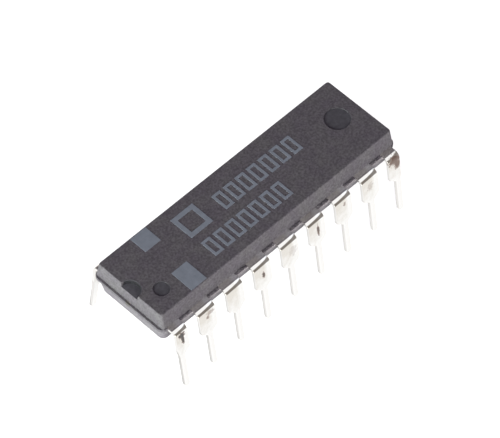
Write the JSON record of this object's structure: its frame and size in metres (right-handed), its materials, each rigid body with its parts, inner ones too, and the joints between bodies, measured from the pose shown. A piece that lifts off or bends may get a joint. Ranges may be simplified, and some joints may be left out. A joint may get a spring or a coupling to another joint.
{
  "type": "dip integrated circuit",
  "caption": "Dual in-line integrated circuit: a notched black moulded body with a row of bent, tinned leads along each side, and the lead frame, chip and bond wires inside.",
  "frame": {"origin": "centre of the seating plane, the plane of the circuit board's top that the wide parts of the leads stop on", "axes": "+X along the body from the notched end to the plain end, +Y from the row of leads 1 to 9 to the row of leads 10 to 18, +Z away from the board"},
  "size_m": [0.022, 0.0093, 0.0067],
  "materials": {
    "moulding": "matte black moulded epoxy with a fine grain",
    "lead_metal": "tinned, satin to bright",
    "frame_metal": "bare lead frame strip with a silver-plated paddle",
    "adhesive": "silver-filled epoxy",
    "silicon": "polished silicon, opaque",
    "gold": "drawn gold wire",
    "ink": "grey printing ink"
  },
  "bodies": {
    "root": {"body": "moulding", "die_paddle": "frame_metal", "die_attach": "adhesive", "die": "silicon", "ink_marks": "ink", "lead_01": "lead_metal", "lead_02": "lead_metal", "lead_03": "lead_metal", "lead_04": "lead_metal", "lead_05": "lead_metal", "lead_06": "lead_metal", "lead_07": "lead_metal", "lead_08": "lead_metal", "lead_09": "lead_metal", "lead_10": "lead_metal", "lead_11": "lead_metal", "lead_12": "lead_metal", "lead_13": "lead_metal", "lead_14": "lead_metal", "lead_15": "lead_metal", "lead_16": "lead_metal", "lead_17": "lead_metal", "lead_18": "lead_metal", "bond_wire_01": "gold", "bond_wire_02": "gold", "bond_wire_03": "gold", "bond_wire_04": "gold", "bond_wire_05": "gold", "bond_wire_06": "gold", "bond_wire_07": "gold", "bond_wire_08": "gold", "bond_wire_09": "gold", "bond_wire_10": "gold", "bond_wire_11": "gold", "bond_wire_12": "gold", "bond_wire_13": "gold", "bond_wire_14": "gold", "bond_wire_15": "gold", "bond_wire_16": "gold", "bond_wire_17": "gold", "bond_wire_18": "gold"}
  },
  "joints": []
}
